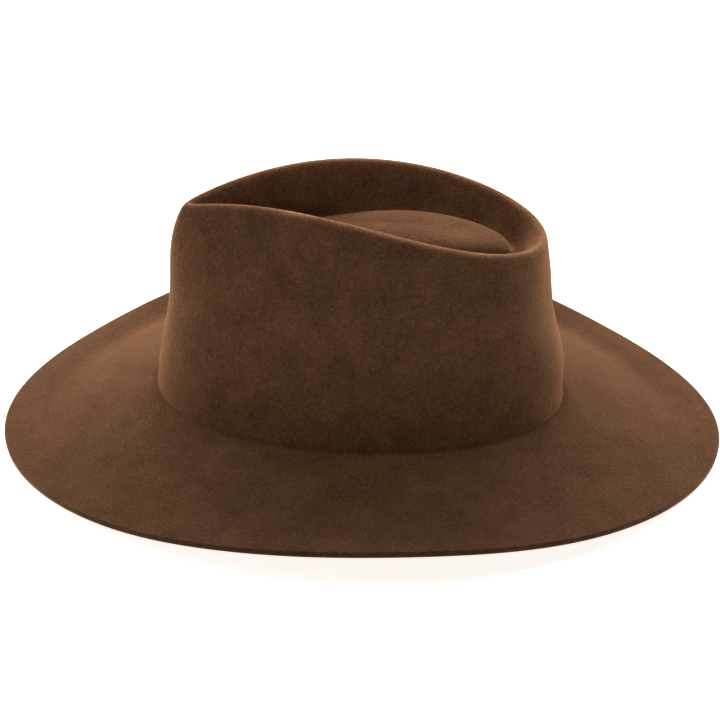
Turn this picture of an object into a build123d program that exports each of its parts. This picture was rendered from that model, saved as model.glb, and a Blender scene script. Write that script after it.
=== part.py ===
from build123d import *
import math
import os

import numpy as np

# A wide-brim soft felt hat with a teardrop crown. Millimetres, +Z up, the front of the hat at -Y and
# the wearer's left side at +X. The felt is one blocked sheet: brim, crown wall, ridge, the channel
# inside the ridge and the low dome in the middle of the crown's top. Inside are a leather sweatband,
# held by a taped reed at the crown's base, and a satin lining with a clear tip protector.

# ---------------------------------------------------------------- driving dimensions
HALF_LENGTH = 107.0          # outside of the felt where the brim meets the crown, front to back
HALF_WIDTH = 88.0            # the same, side to side
BRIM_FRONT = 81.5            # width of the brim in front, at the back and at the sides
BRIM_BACK = 84.5
BRIM_SIDE = 81.0
SIDE_LIFT = 18.0             # how far the brim's side edges rise over its front and back edges
EDGE_DIP = 1.8               # how much lower the edge stays between them
EDGE_FULLNESS = -0.04        # plan shape of the edge, 0 for an ellipse
FELT_BRIM = 3.0              # thickness of the felt in the brim
FELT_CROWN = 2.4             # thickness of the felt in the crown

BASE_Z = (29.5, 32.0, 24.2)  # height of the crown's base: front, side, back
RIDGE_Z = (132.0, 137.5, 116.0)      # height of the ridge round the top: front, side, back
RIDGE_FRONT = 91.7           # reach of the ridge from the hat's middle, forwards and backwards
RIDGE_BACK = 93.8
RIDGE_HALF_WIDTH = 50.0
RIDGE_TAPER = 0.63           # 0 is an oval ridge, 1 a fully pointed front
RIDGE_FULLNESS = -0.067
RIDGE_WAVE = -1.5
CREST_RISE = 2.0             # the crest's control ring over the ridge's own height
DOME_Y = 18.2                # the dome's middle, behind the hat's middle
DOME_HALF_LENGTH = 56.0
DOME_HALF_WIDTH = 24.8
DOME_TAPER = 0.26
DOME_Z = 120.6               # height of the dome's front, and of its back
DOME_BACK_Z = 116.3

LEATHER = 1.0                # sweatband leather
SATIN = 0.4                  # lining cloth
GAP = 0.3                    # room between neighbouring pieces
REED_RADIUS = 0.85
REED_HOLE = 1.3             # inside radius of the tape round the reed
REED_Z = 4.5                 # the reed's middle over the crown's base
REED_OPENING = 6.0           # gap between the reed's ends, at the back
TAPE = 0.5                   # the tape that wraps the reed
FLAP_TOP = 13.0              # top of the tape's flap, which is sewn to the felt
TAPE_LIP = 6.9               # top of the tape's inner side, which the leather is sewn to
SWEAT_TOP = 40.0             # top edge of the leather over the crown's base
LINING_BOTTOM = 18.0         # the lining is tucked in behind the leather, down to here
TIP_HEIGHT = 62.0            # edge of the lining's tip over the crown's base
TIP_INSET = 6.0              # the tip's edge stands this far in from the felt
TIP_SAG = 3.0                # the tip's middle hangs lower than its edge
PIPING_RADIUS = 0.9
PROTECTOR = 0.3              # clear film that covers the tip
PROTECTOR_SHARE = 0.8        # its outline against the tip's
THREAD_RADIUS = 0.2
SWEAT_BOTTOM = TAPE_LIP + GAP
SWEAT_FOOT = GAP + TAPE + 2 * REED_HOLE      # inset of the leather's outer face at its lower edge
SWEAT_HEAD = 1.3             # and at its upper edge
LINING_INSET = 0.45
TOUCH = 0.05                 # room between pieces that are sewn together
SLEEVE_IN, SLEEVE_OUT = 0.95, 1.15           # radii of the tube over the reed's ends
STRAIGHT_FROM = 6.0          # below this height the felt flares out to the brim
STITCH_COUNT = 112           # stitches in each seam round the sweatband
JOINT_WIDTH = 12.0           # cross stitches and backing where the leather's ends meet
JOINT_PITCH = 2.6
BACKING = 0.3
RIBBON = 0.4                 # the bow's ribbon: thickness and width
BOW_RIBBON = 5.0
BOW_LOOP = 11.0              # reach of a loop to each side, and its half thickness
BOW_SWELL = 1.9
BOW_KNOT = 4.0
BOW_STANDOFF = 3.6
BOW_Z = 13.0
LABEL_ANGLE = math.pi - 0.55
LABEL_WIDTH = 26.0
LABEL_LOW, LABEL_HIGH = 17.0, 30.0

SPANS_AROUND = 16            # patches round a closed skin, and along the felt's profile
ANGLES = np.linspace(0, 2 * math.pi, 3 * SPANS_AROUND, endpoint=False)      # 0 is the front
BACK = math.pi
FINE = 16                    # fine profile steps for each patch row's third
SMALL_ANGLE = 1e-4


# ---------------------------------------------------------------- the felt's surface
def ring(front, back, half_width, heights, taper=0.0, fullness=0.0, wave=0.0, dip=0.0):
    """One control ring as a row of numbers, so that two rings can be mixed."""
    return np.array([front, back, half_width, *heights, taper, fullness, wave, dip])


def ring_points(row, angles):
    """Points round a control ring; its taper makes the plan a teardrop, pointed in front."""
    front, back, half_width, z_front, z_side, z_back, taper, fullness, wave, dip = row

    def across(a):
        return np.sin(a) * (1 - taper * np.cos(a) + fullness * np.cos(2 * a))

    widest = across(np.linspace(0, math.pi, 721)).max()
    x = across(angles) * half_width / widest
    y = (back - front) / 2 - (front + back) / 2 * np.cos(angles)
    mean = (z_front + z_back) / 2
    z = (mean + z_side) / 2 + (mean - z_side) / 2 * np.cos(2 * angles)
    z += (z_front - z_back) / 2 * np.cos(angles)
    z += wave * (np.cos(3 * angles) - np.cos(angles)) + dip * (np.cos(4 * angles) - 1)
    return np.stack([x, y, z], axis=-1)


def brim_rings():
    edge = ring(HALF_LENGTH + BRIM_FRONT, HALF_LENGTH + BRIM_BACK, HALF_WIDTH + BRIM_SIDE,
                (FELT_BRIM, FELT_BRIM + SIDE_LIFT, FELT_BRIM), fullness=EDGE_FULLNESS, dip=EDGE_DIP)
    base = ring(HALF_LENGTH, HALF_LENGTH, HALF_WIDTH, BASE_Z)
    drop = ring(0, 0, 0, (1, 1, 1))
    steps = [(0.0, 0.0), (0.04, 0.3), (0.15, 1.5), (0.4, 2.0), (0.7, 1.0), (0.92, 0.2), (1.0, 0.0)]
    return [edge + (base - edge) * share - drop * sag for share, sag in steps]


def crown_rings():
    base = ring(HALF_LENGTH, HALF_LENGTH, HALF_WIDTH, BASE_Z)
    ridge = ring(RIDGE_FRONT, RIDGE_BACK, RIDGE_HALF_WIDTH, RIDGE_Z,
                 RIDGE_TAPER, RIDGE_FULLNESS, RIDGE_WAVE)

    def wall(share, front, back, bulge, taper_share):
        """A ring of the wall, at a share of the way up to the ridge."""
        row = base + (ridge - base) * share
        row[0:2] = front, back
        row[2] = HALF_WIDTH + (RIDGE_HALF_WIDTH + 8 - HALF_WIDTH) * share + bulge
        row[6:8] = RIDGE_TAPER * taper_share, RIDGE_FULLNESS * taper_share
        return row

    def inside(front, back, side, drops):
        """A ring at the ridge or inside it, set in and let down."""
        heights = [z - drop for z, drop in zip(RIDGE_Z, drops)]
        return ring(RIDGE_FRONT - front, RIDGE_BACK - back, RIDGE_HALF_WIDTH - side, heights,
                    RIDGE_TAPER, RIDGE_FULLNESS, RIDGE_WAVE)

    channel = ring(RIDGE_FRONT - 24, RIDGE_BACK - 18, RIDGE_HALF_WIDTH - 19,
                   (RIDGE_Z[0] - 20, DOME_Z - 18, DOME_BACK_Z - 10))
    return [
        wall(0.05, 106.8, 106.8, 1, 0.0),
        wall(0.25, 104.6, 107.4, 3, 0.04),
        wall(0.5, 100.2, 99.4, 5, 0.15),
        wall(0.75, 101.3, 98.6, 5, 0.4),
        wall(0.93, 97.4, 96.7, 2, 0.8),
        inside(0, 0, 0, [-CREST_RISE] * 3),
        inside(6, 7, 6, (3, 4, 4)),
        inside(14, 12, 12, (14, 24, 15)),
        channel,
    ]


def dome_rings():
    def oval(share, *rises):
        heights = [z + rise for z, rise in zip((DOME_Z, DOME_Z, DOME_BACK_Z), rises)]
        reach = DOME_HALF_LENGTH * share
        return ring(reach - DOME_Y, reach + DOME_Y, DOME_HALF_WIDTH * share, heights,
                    DOME_TAPER * share)

    middle = ring(-DOME_Y, DOME_Y, 0, [DOME_Z + 0.5] * 3)
    return [oval(1.0, -4, -1, -3), oval(0.5, 0, 1, 1.5), middle]


FELT_RINGS = brim_rings() + crown_rings() + dome_rings()
SPANS_ALONG = len(FELT_RINGS) - 3
STEPS = 3 * FINE * SPANS_ALONG + 1


def spline_weights(count, steps):
    """Weights of a clamped uniform cubic B-spline over count control rings."""
    degree = 3
    knots = np.concatenate([[0] * degree, np.linspace(0, 1, count - degree + 1), [1] * degree])
    t = np.linspace(0, 1, steps)
    t[-1] -= 1e-12
    weights = [((knots[i] <= t) & (t < knots[i + 1])).astype(float) for i in range(len(knots) - 1)]
    for order in range(1, degree + 1):
        raised = []
        for i in range(len(knots) - 1 - order):
            value = np.zeros_like(t)
            left = knots[i + order] - knots[i]
            right = knots[i + order + 1] - knots[i + 1]
            if left > 0:
                value += (t - knots[i]) / left * weights[i]
            if right > 0:
                value += (knots[i + order + 1] - t) / right * weights[i + 1]
            raised.append(value)
        weights = raised
    return np.stack(weights, axis=-1)


WEIGHTS = spline_weights(len(FELT_RINGS), STEPS)


def felt_surfaces(angles):
    """The felt's outer and inner surface, brim edge to dome centre, at the given angles."""

    def surface(at):
        controls = np.stack([ring_points(row, at) for row in FELT_RINGS])
        return np.einsum("sr,rac->sac", WEIGHTS, controls)

    outer = surface(angles)
    around = surface(angles + SMALL_ANGLE) - surface(angles - SMALL_ANGLE)
    normal = np.cross(around, np.gradient(outer, axis=0))
    normal /= np.maximum(np.linalg.norm(normal, axis=-1, keepdims=True), 1e-12)
    normal[-1] = (0, 0, 1)
    share = np.clip((np.linspace(0, 1, STEPS) - 0.2) / 0.2, 0, 1)
    thickness = FELT_BRIM + (FELT_CROWN - FELT_BRIM) * share * share * (3 - 2 * share)
    return outer, outer - normal * thickness[:, None, None]


def origin_shift():
    """Moves the hat's box to stand on the origin."""
    points = np.concatenate(felt_surfaces(ANGLES))
    y = points[..., 1]
    return np.array([0, (y.min() + y.max()) / 2, points[..., 2].min()])


ORIGIN = origin_shift()


# ---------------------------------------------------------------- solids from grids of points
TO_BEZIER = np.array([[6, 0, 0, 0], [-5, 18, -9, 2], [2, -9, 18, -5], [0, 0, 0, 6]]) / 6


def skin(grid, closed=True):
    """Smooth faces through a grid of points, one face for every three steps each way."""
    if closed:
        grid = np.concatenate([grid, grid[:, :1]], axis=1)
    faces = []
    for row in range(0, grid.shape[0] - 1, 3):
        for column in range(0, grid.shape[1] - 1, 3):
            block = grid[row:row + 4, column:column + 4]
            poles = np.einsum("ij,jkc,lk->ilc", TO_BEZIER, block, TO_BEZIER)
            faces.append(Face.make_bezier_surface([[tuple(pole) for pole in line] for line in poles]))
    return faces


def strip(first, second, closed=True):
    """Straight faces from one line of points to another."""
    share = np.linspace(0, 1, 4)[:, None, None]
    return skin(first + (second - first) * share, closed)


def solid_of(faces):
    return Solid(Shell(faces))


def sheet_solid(outer, inner, closed=True):
    """The solid between two skins, with straight edges all round."""
    faces = skin(outer, closed) + skin(inner, closed) + strip(outer[0], inner[0], closed)
    if np.ptp(outer[-1], axis=0).max() > 1e-6:
        faces += strip(outer[-1], inner[-1], closed)
    if not closed:
        for side in (0, -1):
            faces += strip(outer[:, side], inner[:, side], closed=False)
    return solid_of(faces)


def rod(start, end, radius):
    """A round rod between two points, cut square at its ends."""
    start, end = Vector(*start), Vector(*end)
    return Solid.make_cylinder(radius, (end - start).length, Plane(start, z_dir=end - start))


def group(solids):
    return solids[0] if len(solids) == 1 else Compound(children=solids)


# ---------------------------------------------------------------- lines inside the crown
def base_height(angles):
    return ring_points(ring(HALF_LENGTH, HALF_LENGTH, HALF_WIDTH, BASE_Z), angles)[:, 2]


class Wall:
    """The crown's inner wall at some angles; its points are asked for by height and inset."""

    def __init__(self, angles):
        self.angles = angles
        self.inner = felt_surfaces(angles)[1] - ORIGIN
        self.base = base_height(angles) - ORIGIN[2]
        ahead, behind = [felt_surfaces(angles + step)[1] for step in (SMALL_ANGLE, -SMALL_ANGLE)]
        self.along = ahead - behind

    def line(self, inset, height):
        """Points moved in from the felt by inset, at a height over the crown's base."""
        on_wall = max(height, STRAIGHT_FROM)
        points = np.empty((len(self.angles), 3))
        for column, base in enumerate(self.base):
            profile = self.inner[WALL_STEPS, column]
            step = int(np.argmax(profile[:, 2] > base + on_wall))
            low, high = profile[step - 1], profile[step]
            point = low + (high - low) * (base + on_wall - low[2]) / (high[2] - low[2])
            forward = self.along[WALL_STEPS, column][step]
            inward = np.array([-forward[1], forward[0]]) / np.hypot(forward[0], forward[1])
            points[column] = (*(point[:2] + inward * inset), base + height)
        return points

    def grid(self, section):
        return np.stack([self.line(inset, height) for inset, height in section])


def thirds(*corners):
    """Section points with two more on each straight run, as a patch needs."""
    points = [corners[0]]
    for start, end in zip(corners, corners[1:]):
        points += [(start[0] + (end[0] - start[0]) * k / 3, start[1] + (end[1] - start[1]) * k / 3)
                   for k in (1, 2, 3)]
    return points


def arc(centre, radius, start, end, spans):
    """Section points on an arc, three steps to a span; angles in degrees."""
    turns = np.radians(np.linspace(start, end, 3 * spans + 1))
    return [(centre[0] + radius * math.cos(a), centre[1] + radius * math.sin(a)) for a in turns]


def leaning(bottom, top, face):
    """The leather leans back to the felt; face is the distance from its outer face."""
    return thirds((SWEAT_FOOT + face, bottom), (SWEAT_HEAD + face, top))


def leather_inset(height):
    share = (height - SWEAT_BOTTOM) / (SWEAT_TOP - SWEAT_BOTTOM)
    return SWEAT_FOOT + (SWEAT_HEAD - SWEAT_FOOT) * share + LEATHER


# ---------------------------------------------------------------- the pieces
def felt_body():
    outer, inner = [surface[::FINE] for surface in felt_surfaces(ANGLES)]
    return sheet_solid(outer - ORIGIN, inner - ORIGIN)


def sweatband():
    outside, inside = [ALL_ROUND.grid(leaning(SWEAT_BOTTOM, SWEAT_TOP, face)) for face in (0, LEATHER)]
    return sheet_solid(outside, inside)


def reed_tape():
    """A J in section: a flap up the felt, round under the reed, and a lip that holds the leather."""
    centre = (GAP + TAPE + REED_HOLE, REED_Z)
    outside, inside = REED_HOLE + TAPE, REED_HOLE
    sections = []
    for radius in (outside, inside):
        left, right = centre[0] - radius, centre[0] + radius
        section = thirds((left, FLAP_TOP), (left, REED_Z))
        section += arc(centre, radius, 180, 360, 2)[1:]
        section += thirds((right, REED_Z), (right, TAPE_LIP))[1:]
        sections.append(ALL_ROUND.grid(section))
    return sheet_solid(*sections)


def ring_tube(wall, centre, radius):
    """A round cord along the wall; open at its ends where the wall isn't whole."""
    grid = wall.grid(arc(centre, radius, 0, 360, 4))
    if wall is ALL_ROUND:
        return solid_of(skin(grid))
    faces = skin(grid, closed=False)
    for side in (0, -1):
        middle = np.broadcast_to(grid[:-1, side].mean(axis=0), grid[:, side].shape)
        faces += strip(grid[:, side], middle, closed=False)
    return solid_of(faces)


def reed():
    return ring_tube(REED_RUN, (GAP + TAPE + REED_HOLE, REED_Z), REED_RADIUS)


def reed_sleeve():
    """The short tube over the reed's two ends."""
    centre = (GAP + TAPE + REED_HOLE, REED_Z)
    outer, inner = [SLEEVE_RUN.grid(arc(centre, radius, 0, 360, 4)) for radius in (SLEEVE_OUT, SLEEVE_IN)]
    faces = skin(outer, closed=False) + skin(inner, closed=False)
    for side in (0, -1):
        faces += strip(outer[:, side], inner[:, side], closed=False)
    return solid_of(faces)


def stitches(inset, low, high, lean, count):
    """Stitches round the band; lean is the share of the pitch that a stitch crosses."""
    solids = []
    for number in range(count):
        middle = 2 * math.pi * (number + 0.5) / count
        side = lean * math.pi / count * (1 if number % 2 else -1)
        run = Wall(np.array([middle - side, middle + side]))
        solids.append(rod(run.line(inset, low)[0], run.line(inset, high)[1], THREAD_RADIUS))
    return group(solids)


def sweatband_zigzag():
    inset = SWEAT_FOOT + LEATHER + THREAD_RADIUS + TOUCH
    return stitches(inset, SWEAT_BOTTOM - 0.8, SWEAT_BOTTOM + 1.2, 0.8, STITCH_COUNT)


def sweatband_sewing():
    """Running stitches through the tape's flap into the felt."""
    inset = GAP + TAPE + THREAD_RADIUS + TOUCH
    height = (FLAP_TOP + REED_Z + REED_HOLE) / 2
    return stitches(inset, height, height, 0.6, STITCH_COUNT)


def pad(angle, width, low, high, face, thickness):
    """A thin strip of cloth lying on the leather's inner face, or on its outer one."""
    reach = width / 2 / HALF_LENGTH
    run = Wall(angle + np.linspace(-reach, reach, 4))
    rows = []
    for depth in (0, thickness):
        section = [(leather_inset(height) + face + depth, height) for height in np.linspace(low, high, 4)]
        rows.append(run.grid(section))
    return sheet_solid(*rows, closed=False)


def sweatband_joint_backing():
    """The tape glued behind the leather's two ends, where they meet at the back."""
    return pad(BACK, JOINT_WIDTH, SWEAT_BOTTOM + 3, SWEAT_TOP - 6, -LEATHER - 3 * TOUCH - BACKING, BACKING)


def sweatband_joint_stitches():
    """Cross stitches that close the leather's joint."""
    solids = []
    reach = JOINT_WIDTH / 4 / HALF_LENGTH
    run = Wall(BACK + np.array([-reach, reach]))
    for height in np.arange(SWEAT_BOTTOM + 5, SWEAT_TOP - 4, JOINT_PITCH):
        low, high = height, height + JOINT_PITCH * 0.6
        start = run.line(leather_inset(low) + THREAD_RADIUS + TOUCH, low)[0]
        end = run.line(leather_inset(high) + THREAD_RADIUS + TOUCH, high)[1]
        solids.append(rod(start, end, THREAD_RADIUS))
    return group(solids)


def bow_plane():
    """At the back, low on the leather: X across the hat, Y towards its middle, Z up."""
    place = Wall(np.array([BACK])).line(leather_inset(BOW_Z) + BOW_STANDOFF, BOW_Z)[0]
    return Plane(tuple(place), x_dir=(-1, 0, 0), z_dir=(0, 0, 1))


def rear_bow_loops():
    """The bow's two loops, of flat ribbon standing on edge."""
    solids = []
    for side in (-1, 1):
        outlines = []
        for trim in (0, RIBBON):
            root, tip = side * (BOW_KNOT / 2 + TOUCH + trim), side * (BOW_LOOP - trim)
            swell = BOW_SWELL - trim
            lip = 2 * RIBBON - trim
            points = [(root, lip), (0.6 * tip, swell), (tip, 0), (0.6 * tip, -swell), (root, -lip)]
            outlines.append(Wire([Edge.make_spline(points), Edge.make_line(points[-1], points[0])]))
        loop = Solid.extrude(Face(outlines[0], [outlines[1]]), Vector(0, 0, BOW_RIBBON))
        solids.append(bow_plane().offset(-BOW_RIBBON / 2) * loop)
    return group(solids)


def rear_bow_knot():
    knot = Solid.make_box(BOW_KNOT, 5 * RIBBON, BOW_RIBBON * 0.8, Plane((-BOW_KNOT / 2, -2.5 * RIBBON, 0)))
    knot = knot.fillet(RIBBON * 0.8, knot.edges())
    return bow_plane().offset(-BOW_RIBBON * 0.4) * knot


def lining_side_band():
    rows = []
    for face in (0, SATIN):
        section = thirds((LINING_INSET + face, LINING_BOTTOM), (LINING_INSET + face, SWEAT_TOP))
        section += thirds((LINING_INSET + face, SWEAT_TOP),
                          (TIP_INSET - PIPING_RADIUS - 0.8 + face, TIP_HEIGHT - PIPING_RADIUS - GAP))[1:]
        rows.append(ALL_ROUND.grid(section))
    return sheet_solid(*rows)


def disc_grid(share, drop):
    """A sagging oval surface inside the piping, as rings that shrink to its middle."""
    rim = ALL_ROUND.line(TIP_INSET + PIPING_RADIUS + GAP, TIP_HEIGHT)
    middle = rim.mean(axis=0)
    rows = []
    for size in np.linspace(share, 0, 7):
        row = middle + (rim - middle) * size
        row[:, 2] -= TIP_SAG * (1 - size * size) + drop
        rows.append(row)
    return np.stack(rows)


def lining_tip():
    return sheet_solid(disc_grid(1.0, 0), disc_grid(1.0, SATIN))


def lining_piping():
    return ring_tube(ALL_ROUND, (TIP_INSET, TIP_HEIGHT), PIPING_RADIUS)


def tip_protector():
    top = SATIN + GAP
    return sheet_solid(disc_grid(PROTECTOR_SHARE, top), disc_grid(PROTECTOR_SHARE, top + PROTECTOR))


def tip_protector_stitches():
    """Running stitches just inside the film's edge."""
    line = disc_grid(PROTECTOR_SHARE * 0.96, SATIN + GAP + PROTECTOR + THREAD_RADIUS + TOUCH)[0]
    solids = []
    for start, end in zip(line, np.roll(line, -1, axis=0)):
        solids.append(rod(start + (end - start) * 0.15, start + (end - start) * 0.6, THREAD_RADIUS))
    return group(solids)


def size_label():
    return pad(LABEL_ANGLE, LABEL_WIDTH, LABEL_LOW, LABEL_HIGH, TOUCH, SATIN)


def size_label_stitches():
    solids = []
    reach = (LABEL_WIDTH / 2 - 2) / HALF_LENGTH
    for side in (-reach, reach):
        run = Wall(np.array([LABEL_ANGLE + side]))
        for height in np.arange(LABEL_LOW + 1, LABEL_HIGH - 2, 2.5):
            ends = [run.line(leather_inset(level) + SATIN + 2 * TOUCH + THREAD_RADIUS, level)[0]
                    for level in (height, height + 1.5)]
            solids.append(rod(*ends, THREAD_RADIUS))
    return group(solids)


WALL_STEPS = slice(int(0.27 * STEPS), int(0.68 * STEPS))
ALL_ROUND = Wall(ANGLES)
REED_GAP = REED_OPENING / 2 / HALF_LENGTH
REED_RUN = Wall(np.linspace(BACK + REED_GAP, BACK - REED_GAP + 2 * math.pi, 3 * SPANS_AROUND + 1))
SLEEVE_RUN = Wall(BACK + np.linspace(-3 * REED_GAP, 3 * REED_GAP, 4))

PIECES = [
    felt_body, sweatband, reed_tape, reed, reed_sleeve, sweatband_zigzag, sweatband_sewing,
    sweatband_joint_backing, sweatband_joint_stitches, rear_bow_loops, rear_bow_knot, lining_side_band,
    lining_tip, lining_piping, tip_protector, tip_protector_stitches, size_label, size_label_stitches,
]

os.makedirs("parts", exist_ok=True)
for make in PIECES:
    export_step(make(), f"parts/{make.__name__}.step")
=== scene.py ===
import math

import bmesh
import bpy
import numpy as np
from mathutils import Matrix, Vector


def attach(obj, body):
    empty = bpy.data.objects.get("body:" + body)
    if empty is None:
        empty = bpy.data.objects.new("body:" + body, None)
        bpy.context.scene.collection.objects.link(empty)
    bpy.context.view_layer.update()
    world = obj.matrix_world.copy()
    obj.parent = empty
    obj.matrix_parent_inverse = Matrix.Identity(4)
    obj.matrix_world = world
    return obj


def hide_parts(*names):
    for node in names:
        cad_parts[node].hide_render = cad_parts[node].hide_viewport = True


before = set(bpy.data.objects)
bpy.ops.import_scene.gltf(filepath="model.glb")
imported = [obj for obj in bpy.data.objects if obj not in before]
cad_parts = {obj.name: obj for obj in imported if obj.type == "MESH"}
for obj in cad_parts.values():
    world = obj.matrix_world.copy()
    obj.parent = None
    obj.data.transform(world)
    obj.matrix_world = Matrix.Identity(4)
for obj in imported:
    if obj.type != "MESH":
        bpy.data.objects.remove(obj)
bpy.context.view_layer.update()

MM = 0.001

# ---------------------------------------------------------------- the felt's shape, in mm, as in the CAD
HALF_LENGTH, HALF_WIDTH = 107.0, 88.0  # of the crown's base
BRIM_FRONT, BRIM_BACK, BRIM_SIDE = 81.5, 84.5, 81.0  # width of the brim
SIDE_LIFT = 18.0  # how far the brim's side edges rise over its front and back edges
EDGE_DIP = 1.8  # how much lower the edge stays between them
EDGE_FULLNESS = -0.04  # plan shape of the edge, 0 for an ellipse
FELT_BRIM, FELT_CROWN = 3.0, 2.4  # thickness of the felt
THINNING = (0.2, 0.4)  # places on the profile between which it thins
BASE_Z = (29.5, 32.0, 24.2)  # height of the crown's base: front, side, back
RIDGE_Z = (132.0, 137.5, 116.0)  # height of the ridge round the top, likewise
RIDGE_FRONT, RIDGE_BACK, RIDGE_HALF_WIDTH = 91.7, 93.8, 50.0
RIDGE_TAPER, RIDGE_FULLNESS, RIDGE_WAVE = 0.63, -0.067, -1.5
CREST_RISE = 2.0  # the crest's control ring over the ridge's own height
DOME_Y, DOME_HALF_LENGTH, DOME_HALF_WIDTH, DOME_TAPER = 18.2, 56.0, 24.8, 0.26
DOME_Z, DOME_BACK_Z, DOME_PEAK = 120.6, 116.3, 0.5  # height in front and behind, rise of the middle

# control rings of the brim: share of the way in from the edge, and sag
BRIM_RINGS = ((0.0, 0.0), (0.04, 0.3), (0.15, 1.5), (0.4, 2.0), (0.7, 1.0), (0.92, 0.2), (1.0, 0.0))
# of the crown's wall: share of the way up to the ridge, reach in front and behind, bulge, share of the taper
WALL_RINGS = ((0.05, 106.8, 106.8, 1, 0.0), (0.25, 104.6, 107.4, 3, 0.04), (0.5, 100.2, 99.4, 5, 0.15),
              (0.75, 101.3, 98.6, 5, 0.4), (0.93, 97.4, 96.7, 2, 0.8))
WALL_SPREAD = 8  # how much wider than the ridge the wall's upper end is, to each side
# of the crest and the crease inside it: set in at front, back and sides, and let down at front, side and back
CREASE_RINGS = ((0, 0, 0, (-CREST_RISE,) * 3), (6, 7, 6, (3, 4, 4)), (14, 12, 12, (14, 24, 15)))
CHANNEL_IN, CHANNEL_DROP = (24, 18, 19), (20, 18, 10)  # of the crease's lowest ring, likewise
# of the dome: share of its outline, and rise at front, side and back
DOME_RINGS = ((1.0, (-4, -1, -3)), (0.5, (0, 1, 1.5)))

SMALL_ANGLE = 1e-4
FINE_HALF_TURN = 721
BOX_COLUMNS, BOX_ROWS = 48, 769
TINY = 1e-12


def eased(value, start, end):
    """0 before start, 1 after end, and smooth between them."""
    share = np.clip((value - start) / (end - start), 0, 1)
    return share * share * (3 - 2 * share)


def fading(value, start, end):
    """1 before start, 0 after end, and smooth between them."""
    return eased(-value, -end, -start)


def ring(front, back, half_width, heights, taper=0.0, fullness=0.0, wave=0.0, dip=0.0):
    """One control ring as a row of numbers, so that two rings can be mixed."""
    return np.array([front, back, half_width, *heights, taper, fullness, wave, dip])


def ring_points(row, angles):
    """Points round a control ring; angle 0 is the front, and a taper points the plan in front."""
    front, back, half_width, z_front, z_side, z_back, taper, fullness, wave, dip = row

    def across(a):
        return np.sin(a) * (1 - taper * np.cos(a) + fullness * np.cos(2 * a))

    widest = across(np.linspace(0, math.pi, FINE_HALF_TURN)).max()
    x = across(angles) * half_width / widest
    y = (back - front) / 2 - (front + back) / 2 * np.cos(angles)
    mean = (z_front + z_back) / 2
    z = (mean + z_side) / 2 + (mean - z_side) / 2 * np.cos(2 * angles)
    z += (z_front - z_back) / 2 * np.cos(angles)
    z += wave * (np.cos(3 * angles) - np.cos(angles)) + dip * (np.cos(4 * angles) - 1)
    return np.stack([x, y, z], axis=-1)


def brim_rings():
    edge = ring(HALF_LENGTH + BRIM_FRONT, HALF_LENGTH + BRIM_BACK, HALF_WIDTH + BRIM_SIDE,
                (FELT_BRIM, FELT_BRIM + SIDE_LIFT, FELT_BRIM), fullness=EDGE_FULLNESS, dip=EDGE_DIP)
    base = ring(HALF_LENGTH, HALF_LENGTH, HALF_WIDTH, BASE_Z)
    drop = ring(0, 0, 0, (1, 1, 1))
    return [edge + (base - edge) * share - drop * sag for share, sag in BRIM_RINGS]


def crown_rings():
    base = ring(HALF_LENGTH, HALF_LENGTH, HALF_WIDTH, BASE_Z)
    ridge = ring(RIDGE_FRONT, RIDGE_BACK, RIDGE_HALF_WIDTH, RIDGE_Z,
                 RIDGE_TAPER, RIDGE_FULLNESS, RIDGE_WAVE)

    def wall(share, front, back, bulge, taper_share):
        """A ring of the wall, at a share of the way up to the ridge."""
        row = base + (ridge - base) * share
        row[0:2] = front, back
        row[2] = HALF_WIDTH + (RIDGE_HALF_WIDTH + WALL_SPREAD - HALF_WIDTH) * share + bulge
        row[6:8] = RIDGE_TAPER * taper_share, RIDGE_FULLNESS * taper_share
        return row

    def inside(front, back, side, drops):
        """A ring at the ridge or inside it, set in and let down."""
        heights = [z - drop for z, drop in zip(RIDGE_Z, drops)]
        return ring(RIDGE_FRONT - front, RIDGE_BACK - back, RIDGE_HALF_WIDTH - side, heights,
                    RIDGE_TAPER, RIDGE_FULLNESS, RIDGE_WAVE)

    reach = [size - step for size, step in zip((RIDGE_FRONT, RIDGE_BACK, RIDGE_HALF_WIDTH), CHANNEL_IN)]
    heights = [z - drop for z, drop in zip((RIDGE_Z[0], DOME_Z, DOME_BACK_Z), CHANNEL_DROP)]
    channel = ring(*reach, heights)
    return [wall(*row) for row in WALL_RINGS] + [inside(*row) for row in CREASE_RINGS] + [channel]


def dome_rings():
    def oval(share, rises):
        heights = [z + rise for z, rise in zip((DOME_Z, DOME_Z, DOME_BACK_Z), rises)]
        reach = DOME_HALF_LENGTH * share
        return ring(reach - DOME_Y, reach + DOME_Y, DOME_HALF_WIDTH * share, heights,
                    DOME_TAPER * share)

    middle = ring(-DOME_Y, DOME_Y, 0, [DOME_Z + DOME_PEAK] * 3)
    return [oval(*row) for row in DOME_RINGS] + [middle]


FELT_RINGS = brim_rings() + crown_rings() + dome_rings()


def spline_weights(count, t):
    """Weights of a clamped uniform cubic B-spline over count control rings, at each t."""
    degree = 3
    knots = np.concatenate([[0] * degree, np.linspace(0, 1, count - degree + 1), [1] * degree])
    t = np.minimum(t, 1 - TINY)
    weights = [((knots[i] <= t) & (t < knots[i + 1])).astype(float) for i in range(len(knots) - 1)]
    for order in range(1, degree + 1):
        raised = []
        for i in range(len(knots) - 1 - order):
            value = np.zeros_like(t)
            left = knots[i + order] - knots[i]
            right = knots[i + order + 1] - knots[i + 1]
            if left > 0:
                value += (t - knots[i]) / left * weights[i]
            if right > 0:
                value += (knots[i + order + 1] - t) / right * weights[i + 1]
            raised.append(value)
        weights = raised
    return np.stack(weights, axis=-1)


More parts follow.
